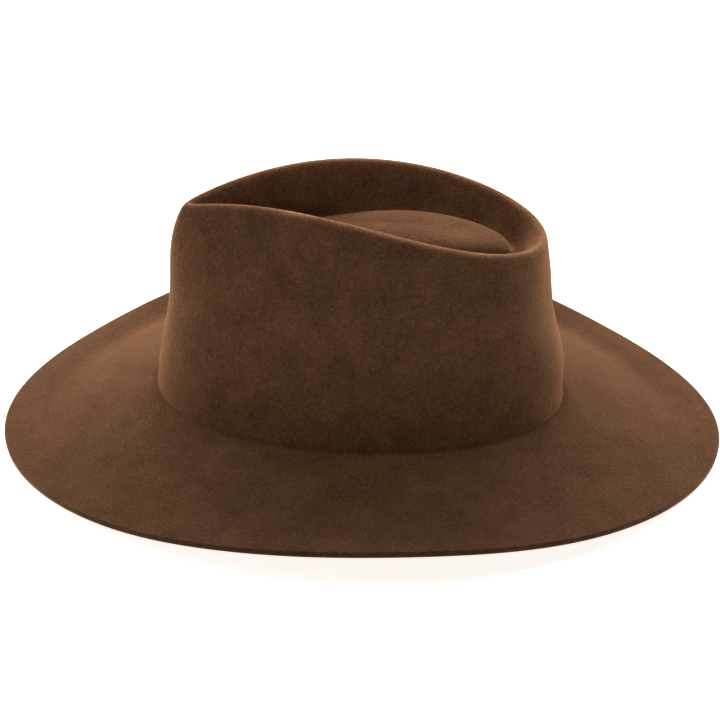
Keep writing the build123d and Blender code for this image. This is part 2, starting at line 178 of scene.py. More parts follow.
def felt_surfaces(angles, t):
    """Outer surface, its normals and the felt's thickness.

    A place t on the profile is 0 at the brim's edge and 1 at the dome's middle.
    """
    weights = spline_weights(len(FELT_RINGS), t)

    def surface(at):
        controls = np.stack([ring_points(row, at) for row in FELT_RINGS])
        return np.einsum("sr,rac->sac", weights, controls)

    outer = surface(angles)
    around = surface(angles + SMALL_ANGLE) - surface(angles - SMALL_ANGLE)
    normal = np.cross(around, np.gradient(outer, t, axis=0))
    normal /= np.maximum(np.linalg.norm(normal, axis=-1, keepdims=True), TINY)
    normal[t >= 1] = (0, 0, 1)
    thickness = FELT_BRIM + (FELT_CROWN - FELT_BRIM) * eased(t, *THINNING)
    return outer, normal, thickness[:, None]


def origin_shift():
    """The model's box stands on the origin."""
    angles = np.linspace(0, 2 * math.pi, BOX_COLUMNS, endpoint=False)
    outer, normal, thickness = felt_surfaces(angles, np.linspace(0, 1, BOX_ROWS))
    points = np.concatenate([outer, outer - normal * thickness[..., None]])
    y = points[..., 1]
    return np.array([0, (y.min() + y.max()) / 2, points[..., 2].min()])


ORIGIN = origin_shift()


# ---------------------------------------------------------------- mesh helpers
ROUND_STEPS = 3  # points in each round edge of a strip
THREAD_RADIUS, THREAD_SIDES, THREAD_TWISTS = 0.2, 8, 3.0
THREAD_PLY, THREAD_END = 0.14, 0.9  # depth of the twist, and how thin the ends get
ACROSS_NO_THREAD = (0.31, 0.17, 0.94)  # a direction that no thread follows
NOISE_WAVES, NOISE_SPREAD = 14, (0.7, 1.5)  # plane waves in the noise, and their lengths against its scale


def make_object(name, points, faces, material, replaces, corners=None):
    """A closed mesh piece from points in mm, riding on the hat, with its cloth coordinates if it has any."""
    mesh = bpy.data.meshes.new(name)
    mesh.from_pydata((np.asarray(points).reshape(-1, 3) * MM).tolist(), [], faces)
    mesh.update()
    if corners is not None:
        layer = mesh.uv_layers.new(name="cloth")
        layer.data.foreach_set("uv", np.concatenate(corners).ravel())
    shape = bmesh.new()
    shape.from_mesh(mesh)
    bmesh.ops.recalc_face_normals(shape, faces=shape.faces)
    shape.to_mesh(mesh)
    shape.free()
    mesh.polygons.foreach_set("use_smooth", [True] * len(mesh.polygons))
    piece = bpy.data.objects.new(name, mesh)
    bpy.context.scene.collection.objects.link(piece)
    piece.data.materials.append(material)
    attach(piece, "root")
    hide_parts(replaces)
    return piece


def grid_faces(rows, columns, wrap_rows=False, wrap_columns=True):
    """Quads over a grid of points, row by row."""
    faces = []
    for row in range(rows if wrap_rows else rows - 1):
        below, above = row * columns, (row + 1) % rows * columns
        for column in range(columns if wrap_columns else columns - 1):
            after = (column + 1) % columns
            faces.append((below + column, below + after, above + after, above + column))
    return faces


def walked(line, wrap):
    """Distance along a line of points, with the step back to its start if it wraps."""
    if wrap:
        line = np.concatenate([line, line[:1]])
    return np.concatenate([[0], np.cumsum(np.linalg.norm(np.diff(line, axis=0), axis=1))])


def swept(name, rings, material, replaces, whole=True):
    """A closed section carried along a line, as an array (section point, place, xyz). If it is whole, its two
    ends meet."""
    rows, columns = rings.shape[:2]
    faces = grid_faces(rows, columns, wrap_rows=True, wrap_columns=whole)
    u, v = walked(rings[0], whole), walked(rings[:, 0], True)
    left, low = np.meshgrid(u[:-1], v[:-1])
    right, high = np.meshgrid(u[1:], v[1:])
    corners = [np.stack([left, low, right, low, right, high, left, high], axis=-1).reshape(-1, 2)]
    if not whole:
        faces += [tuple(range(side, rows * columns, columns)) for side in (0, columns - 1)]
        corners.append(np.zeros((2 * rows, 2)))
    return make_object(name, rings, faces, material, replaces, corners)


def rings_with_ends(name, rings, first, last, material, replaces):
    """Closed rings joined in order, with a point to close each end."""
    rows, columns = rings.shape[:2]
    faces = grid_faces(rows, columns)
    for column in range(columns):
        after = (column + 1) % columns
        faces.append((rows * columns, after, column))
        faces.append((rows * columns + 1, (rows - 1) * columns + column, (rows - 1) * columns + after))
    points = np.concatenate([rings.reshape(-1, 3), [first, last]])
    return make_object(name, points, faces, material, replaces)


def unit(vectors):
    return vectors / np.maximum(np.linalg.norm(vectors, axis=-1, keepdims=True), 1e-9)


def strip_section(line, thickness):
    """The closed outline, with round edges, of a strip of that thickness along a flat line of points."""
    line = np.asarray(line, dtype=float)
    tangent = unit(np.gradient(line, axis=0))
    normal = np.stack([tangent[:, 1], -tangent[:, 0]], axis=-1)
    half = thickness / 2
    turns = np.linspace(0, math.pi, ROUND_STEPS + 2)[1:-1, None]

    def edge(end, way):
        return line[end] + half * way * (np.cos(turns) * normal[end] + np.sin(turns) * tangent[end])

    return np.concatenate([line + half * normal, edge(-1, 1), (line - half * normal)[::-1], edge(0, -1)])


def threads(name, paths, material, replaces):
    """Short two-ply threads along paths, an array (thread, step, xyz), all in one piece."""
    tangent = unit(np.gradient(paths, axis=1))
    aside = unit(np.cross(tangent, ACROSS_NO_THREAD))
    above = np.cross(aside, tangent)
    along = np.linspace(0, 1, paths.shape[1])[:, None]
    turn = np.linspace(0, 2 * math.pi, THREAD_SIDES, endpoint=False)
    size = THREAD_RADIUS * np.sqrt(1 - THREAD_END * (2 * along - 1) ** 8)
    size = size * (1 + THREAD_PLY * np.cos(2 * turn - 2 * math.pi * THREAD_TWISTS * along))
    outward = aside[:, :, None] * np.cos(turn)[:, None] + above[:, :, None] * np.sin(turn)[:, None]
    rings = paths[:, :, None] + outward * size[None, :, :, None]
    count, steps = paths.shape[:2]
    sides = THREAD_SIDES
    faces = []
    for number in range(count):
        start = number * steps * sides
        faces += [tuple(start + corner for corner in face) for face in grid_faces(steps, sides)]
        faces += [tuple(range(start, start + sides)),
                  tuple(range(start + (steps - 1) * sides, start + steps * sides))]
    make_object(name, rings, faces, material, replaces)


def smooth_noise(points, scale, seed):
    """Gentle noise about -1 to 1 from a sum of plane waves, the same every run."""
    local = np.random.default_rng(seed)
    direction = unit(local.normal(size=(NOISE_WAVES, 3)))
    wavelength = scale * local.uniform(*NOISE_SPREAD, NOISE_WAVES)
    phase = local.uniform(0, 2 * math.pi, NOISE_WAVES)
    turns = np.einsum("...c,wc->...w", points, direction / wavelength[:, None] * 2 * math.pi)
    return np.sin(turns + phase).sum(axis=-1) / math.sqrt(NOISE_WAVES)


# ---------------------------------------------------------------- material helpers
def new_material(name):
    material = bpy.data.materials.new(name)
    material.use_nodes = True
    nodes = material.node_tree.nodes
    return material, nodes, material.node_tree.links, nodes["Principled BSDF"]


def noise(nodes, links, coordinates, scale, detail=2.0, roughness=0.5, distortion=0.0):
    node = nodes.new("ShaderNodeTexNoise")
    node.inputs["Scale"].default_value = scale
    node.inputs["Detail"].default_value = detail
    node.inputs["Roughness"].default_value = roughness
    node.inputs["Distortion"].default_value = distortion
    links.new(coordinates, node.inputs["Vector"])
    return node.outputs["Fac"]


def ramp(nodes, links, factor, stops):
    node = nodes.new("ShaderNodeValToRGB")
    elements = node.color_ramp.elements
    while len(elements) < len(stops):
        elements.new(0.5)
    for element, (place, colour) in zip(elements, stops):
        element.position = place
        element.color = (*colour, 1)
    links.new(factor, node.inputs["Fac"])
    return node.outputs["Color"]


def math_node(nodes, links, operation, first, second):
    node = nodes.new("ShaderNodeMath")
    node.operation = operation
    for socket, value in zip(node.inputs, (first, second)):
        if isinstance(value, (int, float)):
            socket.default_value = value
        else:
            links.new(value, socket)
    return node.outputs["Value"]


def stretched(nodes, links, source, scale, turn):
    """Coordinates squeezed on one axis and turned, so that noise makes fibres."""
    node = nodes.new("ShaderNodeMapping")
    node.inputs["Scale"].default_value = scale
    node.inputs["Rotation"].default_value = turn
    links.new(source, node.inputs["Vector"])
    return node.outputs["Vector"]


def bump(nodes, links, height, strength, distance, normal=None):
    node = nodes.new("ShaderNodeBump")
    node.inputs["Strength"].default_value = strength
    node.inputs["Distance"].default_value = distance
    links.new(height, node.inputs["Height"])
    if normal is not None:
        links.new(normal, node.inputs["Normal"])
    return node.outputs["Normal"]


FELT_DARK, FELT_LIGHT = (0.034, 0.0147, 0.0067), (0.150, 0.070, 0.034)
FELT_SHEEN = (1.0, 0.49, 0.24)
# fibres lie in three directions: how each layer of noise is turned and squeezed
FIBRES = (((0.3, 0.2, 0.1), (1900, 1900, 330)), ((0.9, -0.6, 1.2), (1900, 330, 1900)),
          ((-0.5, 0.8, 2.1), (330, 1900, 1900)))
FIBRE_SHARE, SPECK_SHARE, CLOUD_SHARE = 0.46, 0.34, 0.20


def added(nodes, links, parts):
    """The sum of some (value, factor) pairs."""
    total = None
    for value, factor in parts:
        part = math_node(nodes, links, "MULTIPLY", value, factor)
        total = part if total is None else math_node(nodes, links, "ADD", total, part)
    return total


def painted_light_colour(nodes, links, colour):
    """A colour made lighter or darker by the attribute of painted highlights and painted shade, which counts
    doublings.
    """
    painted_light_and_shade = nodes.new("ShaderNodeAttribute")
    painted_light_and_shade.attribute_name = "painted_light_and_shade"
    wear_and_painted_light = nodes.new("ShaderNodeVectorMath")
    wear_and_painted_light.operation = "SCALE"
    links.new(colour, wear_and_painted_light.inputs["Vector"])
    links.new(math_node(nodes, links, "POWER", 2.0, painted_light_and_shade.outputs["Fac"]), wear_and_painted_light.inputs["Scale"])
    return wear_and_painted_light.outputs["Vector"]


def felt_material():
    """Short matted wool: fibres in every direction, specks, cloudy colour and a soft nap."""
    material, nodes, links, shader = new_material("felt")
    place = nodes.new("ShaderNodeTexCoord").outputs["Object"]
    layers = [noise(nodes, links, stretched(nodes, links, place, squeeze, turn), scale=1.0, detail=2.0,
                    roughness=0.6, distortion=0.6) for turn, squeeze in FIBRES]
    fibres = added(nodes, links, [(layer, 1 / len(layers)) for layer in layers])
    specks = noise(nodes, links, place, scale=620, detail=3.0, roughness=0.7)
    clouds = noise(nodes, links, place, scale=60, detail=4.0, roughness=0.6)
    grain = added(nodes, links, [(fibres, FIBRE_SHARE), (specks, SPECK_SHARE), (clouds, CLOUD_SHARE)])
    colour = ramp(nodes, links, grain, [(0.37, FELT_DARK), (0.63, FELT_LIGHT)])
    # the base colour is scaled by painted highlights and painted shade from the mesh attribute
    links.new(painted_light_colour(nodes, links, colour), shader.inputs["Base Color"])
    matted = bump(nodes, links, specks, strength=0.35, distance=0.0012)
    links.new(bump(nodes, links, fibres, strength=0.8, distance=0.0007, normal=matted),
              shader.inputs["Normal"])
    shader.inputs["Roughness"].default_value = 0.95
    shader.inputs["Specular IOR Level"].default_value = 0.03
    shader.inputs["Sheen Weight"].default_value = 0.8
    shader.inputs["Sheen Roughness"].default_value = 0.28
    shader.inputs["Sheen Tint"].default_value = (*FELT_SHEEN, 1)
    return material


# ---------------------------------------------------------------- the felt
COLUMNS, OUTER_ROWS, INNER_ROWS, EDGE_ROWS = 288, 190, 130, 7

# where the wall begins and ends and where the brim ends, as places on the profile that fade in or out
WALL_BEGINS, WALL_ENDS, BRIM_ENDS = (0.33, 0.41), (0.61, 0.66), (0.22, 0.27)
WALL_UNEVEN, WALL_WAVE = 0.45, 95  # depth and length of the uneven waves, in mm
BRIM_UNEVEN, BRIM_WAVE = 0.35, 130
RIGHT_SIDE, BESIDE_CROWN = (-30, 40), (90, 150)
CURL_LIFT, CURL_DIP, CURL_REACH, DIP_REACH = 2.2, 1.9, 0.1, 0.035
LEFT_SIDE = (20, 60)
FULL_DEPTH, FULL_HEIGHT, FULL_REACH = 3.2, 97.0, 22
FOLD_DEPTH, FOLD_WIDTH = 1.1, 43.0
FOLD_MIDDLE, FOLD_HEIGHT, FOLD_REACH = 16.0, 78.0, (45, 32)
BASE_CREASE, BASE_CREASE_AT, BASE_CREASE_WIDTH = 1.2, 0.3125, 0.018  # where brim and crown meet


def hump(value, middle, reach):
    """1 at the middle, falling away smoothly on both sides."""
    return np.exp(-((value - middle) / reach) ** 2)


def hand_shape(points, t):
    """How far a hand-blocked hat is from the even shape, in mm along the surface's normal."""
    x, y, z = points[..., 0], points[..., 1], points[..., 2]
    t = t[:, None]
    wall = eased(t, *WALL_BEGINS) * fading(t, *WALL_ENDS)
    uneven = WALL_UNEVEN * wall * smooth_noise(points, WALL_WAVE, seed=3)
    uneven += BRIM_UNEVEN * fading(t, *BRIM_ENDS) * smooth_noise(points, BRIM_WAVE, seed=8)
    # the right brim's edge is curled up a little, most beside the crown
    lift = CURL_LIFT * fading(t, 0, CURL_REACH) ** 1.5 * fading(np.abs(y), *BESIDE_CROWN)
    curl = (lift - CURL_DIP * hump(t, CURL_REACH, DIP_REACH)) * fading(x, *RIGHT_SIDE)
    # the left wall is fuller above its middle, with shallow upright folds
    left = wall * eased(x, *LEFT_SIDE)
    full = FULL_DEPTH * left * hump(z, FULL_HEIGHT, FULL_REACH)
    folds = np.cos(2 * math.pi * (y - FOLD_MIDDLE) / FOLD_WIDTH) * hump(y, FOLD_MIDDLE, FOLD_REACH[0])
    folds = FOLD_DEPTH * folds * left * hump(z, FOLD_HEIGHT, FOLD_REACH[1])
    return uneven + curl + full + folds - BASE_CREASE * hump(t, BASE_CREASE_AT, BASE_CREASE_WIDTH)


def shaped_felt(angles, t):
    """The felt's outer and inner surface as the hand left it, standing on the origin."""
    outer, normal, thickness = felt_surfaces(angles, t)
    outer = outer + normal * hand_shape(outer, t)[..., None]
    return outer - ORIGIN, outer - normal * thickness[..., None] - ORIGIN


# the felt's painted highlights, painted light and painted shade, in doublings of lightness, and its reach in
# mm
# a painted highlight along the crown's crest
CREST_PAINTED_HIGHLIGHT, CREST_REACH = 1.7, 2.8
# a painted highlight along the brim's top lip
LIP_PAINTED_HIGHLIGHT, LIP_REACH = 0.35, 1.2
# painted light over the inside of the crease: its far wall and the dome
CREASE_PAINTED_LIGHT, CREASE_ROWS = 0.55, 12
PATCHY, PATCH_SIZE = 0.15, 22
CUT_PAINTED_SHADE_AND_LIGHT = (-0.4, -0.9, -1.0, -1.0, -0.9, -0.2, 0.9)  # painted shade down the brim's cut face, one for each edge row; the last row is painted light from the floor
CREST_FROM, CREST_TO = 0.6, 0.75  # the crest lies between these places on the profile
CUT_SWELL, CUT_SQUARENESS, CUT_INSET = 0.35, 0.4, 0.6  # the cut face's bulge, how square it is, its offset


def painted_crest_lip_crease_light(outer):
    """How much lighter the nap is painted: a painted highlight at the crown's crest and the brim's lip, and
    painted light in the crease.
    """
    rows = np.arange(int(CREST_FROM * OUTER_ROWS), int(CREST_TO * OUTER_ROWS))
    top = rows[0] + np.argmax(outer[rows, :, 2], axis=0)
    from_crest = np.linalg.norm(outer - outer[top, np.arange(COLUMNS)], axis=-1)
    from_lip = np.linalg.norm(outer - outer[0], axis=-1)
    rows_in = np.arange(OUTER_ROWS)[:, None] - top
    # a painted highlight at the crest, and painted light filling the crease
    painted_light_and_shade = CREST_PAINTED_HIGHLIGHT * hump(from_crest, 0, CREST_REACH) + CREASE_PAINTED_LIGHT * eased(rows_in, 0, CREASE_ROWS)
    # a painted highlight at the brim's lip
    painted_light_and_shade += LIP_PAINTED_HIGHLIGHT * hump(from_lip, 0, LIP_REACH)
    return painted_light_and_shade * (1 - PATCHY + PATCHY * smooth_noise(outer, PATCH_SIZE, seed=12))


def felt_body(material):
    angles = np.linspace(0, 2 * math.pi, COLUMNS, endpoint=False)
    outer = shaped_felt(angles, np.linspace(0, 1, OUTER_ROWS))[0]
    inner = shaped_felt(angles, np.linspace(0, 1, INNER_ROWS))[1]
    edge = []
    for turn in np.linspace(0, math.pi, EDGE_ROWS + 2)[1:-1]:
        share = (1 - math.cos(turn)) / 2
        across = outer[0] + (inner[0] - outer[0]) * share
        outward = unit(across - across.mean(axis=0))
        edge.append(across + outward * CUT_SWELL * (math.sin(turn) ** CUT_SQUARENESS - CUT_INSET))
    # one skin from the dome's middle, over the crown and brim, round the edge, and back underneath
    rings = np.concatenate([outer[:-1][::-1], np.stack(edge), inner[:-1]])
    piece = rings_with_ends("felt_shell", rings, outer[-1][0], inner[-1][0], material, "felt_body")
    # painted shade down the cut face, with painted floor light at its foot
    cut_painted_shade = np.repeat(np.array(CUT_PAINTED_SHADE_AND_LIGHT)[:, None], COLUMNS, axis=1)
    painted_light_and_shade = np.concatenate([painted_crest_lip_crease_light(outer)[:-1][::-1], cut_painted_shade, np.zeros(inner.shape[:2])[:-1]])
    layer = piece.data.attributes.new("painted_light_and_shade", "FLOAT", "POINT")
    layer.data.foreach_set("value", np.append(painted_light_and_shade.ravel(), [0.0, 0.0]))


# ---------------------------------------------------------------- the band and lining, in mm, as in the CAD
LEATHER, SATIN, TAPE, BACKING, PROTECTOR = 1.0, 0.4, 0.5, 0.3, 0.3  # thicknesses
GAP, TOUCH = 0.3, 0.05  # room between neighbouring pieces, and between pieces that are sewn together
REED_HOLE, REED_Z = 1.3, 4.5  # of the tape round the reed: inner radius, and middle
FLAP_TOP, TAPE_LIP = 13.0, 6.9  # tops of the tape's outer and inner side
SWEAT_TOP, SWEAT_BOTTOM = 40.0, TAPE_LIP + GAP
SWEAT_FOOT, SWEAT_HEAD = GAP + TAPE + 2 * REED_HOLE, 1.3  # inset of the leather's outer face, foot and top
JOINT_GAP = 0.15  # half the gap between the leather's ends
LEATHER_WAVE, WAVE_INWARD, WAVE_DOWN = 70, 0.45, 0.4  # the free edge's waves: length, and how far they go
WAVE_FROM_IN, WAVE_FROM_DOWN = 31, 36  # height from which they start
FLAT_JOINT = (0.1, 0.3)  # angles from the joint at which they start and are full
LINING_BOTTOM, LINING_INSET = 18.0, 0.45
TIP_HEIGHT, TIP_INSET, TIP_SAG = 62.0, 6.0, 3.0  # of the lining's tip: its rim, and its middle's sag
PIPING_RADIUS, PIPING_ROOM, PIPING_WINDS = 0.9, 0.8, 150
PLEAT_COUNTS, PLEAT_WAVES, PLEAT_EVENED = (36, 92), 9, 4  # pleats are a sum of waves with such counts
SIDE_PLEAT, TIP_PLEAT = 2.2, 0.4  # how deep they go
SIDE_PLEATS_PAST, SIDE_PLEATS_LOST = 6, 0.85  # this far past the side's top they would have lost this share
TIP_PLEATS = (0.84, 0.97)  # between these shares of the tip they grow
SIDE_MEASURED_AT = 30  # height at which the lining's length is taken
SMALLEST_OVAL = 0.03
PROTECTOR_SHARE, PROTECTOR_STITCHES = 0.8, 48  # the film's outline against the tip's
STITCH_LINE = 0.96  # the film's stitches against its own outline
STITCH_COUNT, STITCH_STEPS = 112, 9  # stitches round the band, and points along each
HALF_STITCH, HALF_FILM_STITCH = 0.3, 0.225  # half a stitch's length as a share of its pitch
ZIGZAG_BELOW, ZIGZAG_ABOVE = 0.8, 1.2  # reach of the zigzag from the leather's lower edge
ZIGZAG_LEAN, SEWING_LEAN = 0.8, 0.6  # share of the pitch that each stitch crosses
JOINT_WIDTH, JOINT_PITCH = 12.0, 2.6
BACKING_LOW, BACKING_HIGH = 3, 6  # from the leather's edges
RIBBON, BOW_RIBBON, RIBBON_CUP = 0.4, 5.0, 0.15  # the ribbon's thickness, width and hollow
BOW_LOOP, BOW_SWELL, BOW_KNOT = 11.0, 1.9, 4.0  # a loop's reach and half thickness, knot's width
BOW_STANDOFF, BOW_Z = 3.6, 13.0  # the bow's middle: off the leather, and height
LOOP_SHAPES = ((-1, 0.5, 1.0), (1, 0.8, 0.9))  # side, droop and fullness
LOOP_TURN = 0.93 * math.pi  # a loop's ends go into the knot a little apart
KNOT_DEPTH, KNOT_HEIGHT = 2.5 * RIBBON, 0.8 * BOW_RIBBON
KNOT_ROUND, KNOT_FOLD = 0.75, 0.05  # how far its ends round off, and its folds' depth
LABEL_ANGLE, LABEL_WIDTH, LABEL_LOW, LABEL_HIGH = math.pi - 0.55, 26.0, 17.0, 30.0
LABEL_PITCH, LABEL_MARGIN = 2.5, 2.0
BACK = math.pi
STRAIGHT_FROM = 6.0  # below this height the felt flares out to the brim
WALL_PROFILE = np.linspace(0.27, 0.68, 316)
BAND_COLUMNS, TAPE_COLUMNS, PIPING_COLUMNS = 480, 420, 900
LINING_COLUMNS, TIP_COLUMNS, FILM_COLUMNS = 1440, 720, 240


class Wall:
    """The crown's inner wall at some angles. Its points are asked for by inset and height."""

    def __init__(self, angles):
        inner, ahead, behind = [shaped_felt(angles + step, WALL_PROFILE)[1]
                                for step in (0, SMALL_ANGLE, -SMALL_ANGLE)]
        self.angles = angles
        self.inner, self.along = inner, ahead - behind
        base_ring = ring(HALF_LENGTH, HALF_LENGTH, HALF_WIDTH, BASE_Z)
        self.base = ring_points(base_ring, angles)[:, 2] - ORIGIN[2]

    def line(self, inset, height):
        """Points moved in from the felt by inset, at a height over the crown's base."""
        level = self.base + np.maximum(height, STRAIGHT_FROM)
        step = np.argmax(self.inner[..., 2] > level, axis=0)
        place = np.arange(len(self.angles))
        low, high = self.inner[step - 1, place], self.inner[step, place]
        point = low + (high - low) * ((level - low[:, 2]) / (high[:, 2] - low[:, 2]))[:, None]
        forward = unit(self.along[step, place, :2])
        inward = np.stack([-forward[:, 1], forward[:, 0]], axis=-1)
        x, y = (point[:, :2] + inward * np.broadcast_to(inset, level.shape)[:, None]).T
        return np.stack([x, y, self.base + height], axis=-1)

    def rings(self, section):
        return np.stack([self.line(inset, height) for inset, height in section])


def whole_wall(count):
    return Wall(np.linspace(0, 2 * math.pi, count, endpoint=False))


def on_wall(angles, inset, heights):
    """Points for an array of angles, insets and heights of the same shape."""
    points = Wall(angles.ravel()).line(inset.ravel(), heights.ravel())
    return points.reshape(*angles.shape, 3)


def leather_inset(height):
    """How far in the leather's inner face is."""
    share = (height - SWEAT_BOTTOM) / (SWEAT_TOP - SWEAT_BOTTOM)
    return SWEAT_FOOT + (SWEAT_HEAD - SWEAT_FOOT) * share + LEATHER


def sweatband(material):
    """The leather leans back to the felt. Its free edge waves a little, and its ends meet at the back."""
    gap = JOINT_GAP / HALF_LENGTH
    wall = Wall(np.linspace(BACK + gap, BACK - gap + 2 * math.pi, BAND_COLUMNS))
    heights = np.linspace(SWEAT_BOTTOM + LEATHER / 2, SWEAT_TOP - LEATHER / 2, 20)
    section = strip_section([(leather_inset(height) - LEATHER / 2, height) for height in heights], LEATHER)
    from_joint = math.pi - np.abs((wall.angles - BACK) % (2 * math.pi) - math.pi)
    wave = np.abs(smooth_noise(wall.line(0, SWEAT_TOP), LEATHER_WAVE, seed=21))
    wave *= eased(from_joint, *FLAT_JOINT)
    rings = []
    for inset, height in section:
        inward = WAVE_INWARD * wave * eased(height, WAVE_FROM_IN, SWEAT_TOP)
        down = WAVE_DOWN * wave * eased(height, WAVE_FROM_DOWN, SWEAT_TOP)
        rings.append(wall.line(inset + inward, height - down))
    piece = swept("sweatband_leather", np.stack(rings), material, "sweatband", whole=False)


def reed_tape(material):
    """A J in section: a flap up the felt, round under the reed, and a lip that holds the leather."""
    radius = REED_HOLE + TAPE / 2
    middle = GAP + TAPE + REED_HOLE
    line = [(middle - radius, height) for height in np.linspace(FLAP_TOP - TAPE / 2, REED_Z, 9)]
    line += [(middle + radius * math.cos(turn), REED_Z + radius * math.sin(turn))
             for turn in np.linspace(math.pi, 2 * math.pi, 13)[1:]]
    line += [(middle + radius, height) for height in np.linspace(REED_Z, TAPE_LIP - TAPE / 2, 4)[1:]]
    wall = whole_wall(TAPE_COLUMNS)
    piece = swept("reed_tape_cloth", wall.rings(strip_section(line, TAPE)), material, "reed_tape")
    length = walked(wall.line(middle, REED_Z), True)[-1]


def end_dip(share):
    """How deep a stitch goes into the cloth, at places -1 to 1 along it."""
    return 2 * THREAD_RADIUS * share ** 4


def wall_stitches(name, inset, low, high, lean, material, replaces):
    """Stitches round the band, each a small arch that crosses a share of the pitch: its lean."""
    number = np.arange(STITCH_COUNT)[:, None]
    share = np.linspace(-1, 1, STITCH_STEPS)[None]
    side = lean * math.pi / STITCH_COUNT * np.where(number % 2, 1, -1)
    angles = 2 * math.pi * (number + 0.5) / STITCH_COUNT + side * share
    heights = (low + high) / 2 + (high - low) / 2 * share + 0 * angles
    sunk = inset - end_dip(share) + 0 * angles
    threads(name, on_wall(angles, sunk, heights), material, replaces)


def patch(name, angle, width, low, high, face, thickness, material, replaces):
    """A thin strip of cloth on the leather, face away from its inner face."""
    reach = (width / 2) / HALF_LENGTH
    line = [(leather_inset(height) + face + thickness / 2, height) for height in np.linspace(low, high, 9)]
    rings = Wall(angle + np.linspace(-reach, reach, 25)).rings(strip_section(line, thickness))
    piece = swept(name, rings, material, replaces, whole=False)


def joint_stitches(material):
    """Cross stitches that close the leather's joint at the back."""
    share = np.linspace(-1, 1, STITCH_STEPS)[None]
    low = np.arange(SWEAT_BOTTOM + 5, SWEAT_TOP - 4, JOINT_PITCH)[:, None]
    heights = low + JOINT_PITCH * HALF_STITCH * (1 + share)
    angles = BACK + JOINT_WIDTH / 4 / HALF_LENGTH * share + 0 * heights
    inset = leather_inset(heights) + THREAD_RADIUS - end_dip(share)
    threads("joint_thread", on_wall(angles, inset, heights), material, "sweatband_joint_stitches")


def label_stitches(material):
    """A row of stitches down each side of the label."""
    share = np.linspace(-1, 1, STITCH_STEPS)[None]
    low = np.tile(np.arange(LABEL_LOW + 1, LABEL_HIGH - 2, LABEL_PITCH), 2)[:, None]
    heights = low + LABEL_PITCH * HALF_STITCH * (1 + share)
    side = np.repeat([-1, 1], len(low) // 2)[:, None]
    angles = LABEL_ANGLE + side * (LABEL_WIDTH / 2 - LABEL_MARGIN) / HALF_LENGTH + 0 * heights
    inset = leather_inset(heights) + SATIN + TOUCH + THREAD_RADIUS - end_dip(share)
    threads("label_thread", on_wall(angles, inset, heights), material, "size_label_stitches")


def bow_point(aside, inward, up):
    """A place on the bow at the back, low on the leather."""
    middle = Wall(np.array([BACK])).line(leather_inset(BOW_Z) + BOW_STANDOFF, BOW_Z)[0]
    return np.stack([middle[0] - aside, middle[1] - inward, middle[2] + up], axis=-1)


def bow_loops(material):
    """Two loops of flat ribbon standing on edge, each a little different."""
    turn = np.linspace(-LOOP_TURN, LOOP_TURN, 41)
    reach = (BOW_LOOP - BOW_KNOT / 2) / 2 - RIBBON
    across = np.linspace(-0.5, 0.5, 9) * (BOW_RIBBON - RIBBON)
    section = strip_section(np.stack([RIBBON_CUP * np.cos(across), across], axis=-1), RIBBON)
    for number, (side, droop, fullness) in enumerate(LOOP_SHAPES, start=1):
        aside = side * (BOW_KNOT / 2 + RIBBON + reach * (1 + np.cos(turn)))
        inward = (BOW_SWELL - RIBBON / 2) * fullness * np.sin(turn) * (0.75 + 0.35 * np.cos(turn))
        line = np.stack([aside, inward], axis=-1)
        tangent = unit(np.gradient(line, axis=0))
        normal = np.stack([tangent[:, 1], -tangent[:, 0]], axis=-1)
        rings = []
        for depth, up in section:
            flat = line + normal * depth
            rings.append(bow_point(flat[:, 0], flat[:, 1], up - droop * (np.abs(aside) / BOW_LOOP) ** 2))
        swept(f"bow_loop_{number}", np.stack(rings), material, "rear_bow_loops", whole=False)


def squared(wave):
    """A sine made squarer, so that a circle becomes a square with round corners."""
    return np.sign(wave) * np.abs(wave) ** 0.5


def bow_knot(material):
    """The ribbon wrapped round the bow's middle, with two soft folds."""
    turn = np.linspace(0, 2 * math.pi, 64, endpoint=False)
    rings = []
    for lift in np.linspace(-0.5, 0.5, 25):
        size = (1 - (2 * abs(lift)) ** 6 * KNOT_ROUND) * (1 - KNOT_FOLD * math.cos(6 * math.pi * lift))
        aside = BOW_KNOT / 2 * size * squared(np.cos(turn))
        inward = KNOT_DEPTH * size * squared(np.sin(turn))
        rings.append(bow_point(aside, inward, lift * KNOT_HEIGHT + 0 * turn))
    rings = np.stack(rings)
    rings_with_ends("bow_knot", rings, rings[0].mean(axis=0), rings[-1].mean(axis=0), material,
                    "rear_bow_knot")


def gathers(angles, seed):
    """Uneven pleats round the crown, about -1 to 1."""
    local = np.random.default_rng(seed)
    count = local.integers(*PLEAT_COUNTS, PLEAT_WAVES)
    phase = local.uniform(0, 2 * math.pi, PLEAT_WAVES)
    return np.sin(np.outer(angles, count) + phase).sum(axis=1) / PLEAT_EVENED


def lining_side_band(material):
    """Flat behind the leather, then gathered in to the piping above it."""
    top = (TIP_INSET - PIPING_RADIUS - PIPING_ROOM + SATIN / 2, TIP_HEIGHT - PIPING_RADIUS - GAP)
    foot = (LINING_INSET + SATIN / 2, SWEAT_TOP)
    line = [(foot[0], height) for height in np.linspace(LINING_BOTTOM, SWEAT_TOP, 8)]
    line += [(foot[0] + (top[0] - foot[0]) * share, foot[1] + (top[1] - foot[1]) * share)
             for share in np.linspace(0, 1, 17)[1:]]
    wall = whole_wall(LINING_COLUMNS)
    pleats = gathers(wall.angles, seed=5)
    rings = []
    for inset, height in strip_section(line, SATIN):
        share = eased(height, SWEAT_TOP, top[1] + SIDE_PLEATS_PAST)
        depth = SIDE_PLEAT * share * (1 - SIDE_PLEATS_LOST * share)
        rings.append(wall.line(inset + depth * pleats, height))
    piece = swept("lining_side_satin", np.stack(rings), material, "lining_side_band")
    length = walked(wall.line(LINING_INSET, SIDE_MEASURED_AT), True)[-1]


def tip_rim(wall):
    """The line just inside the piping."""
    return wall.line(TIP_INSET + PIPING_RADIUS + GAP, TIP_HEIGHT)


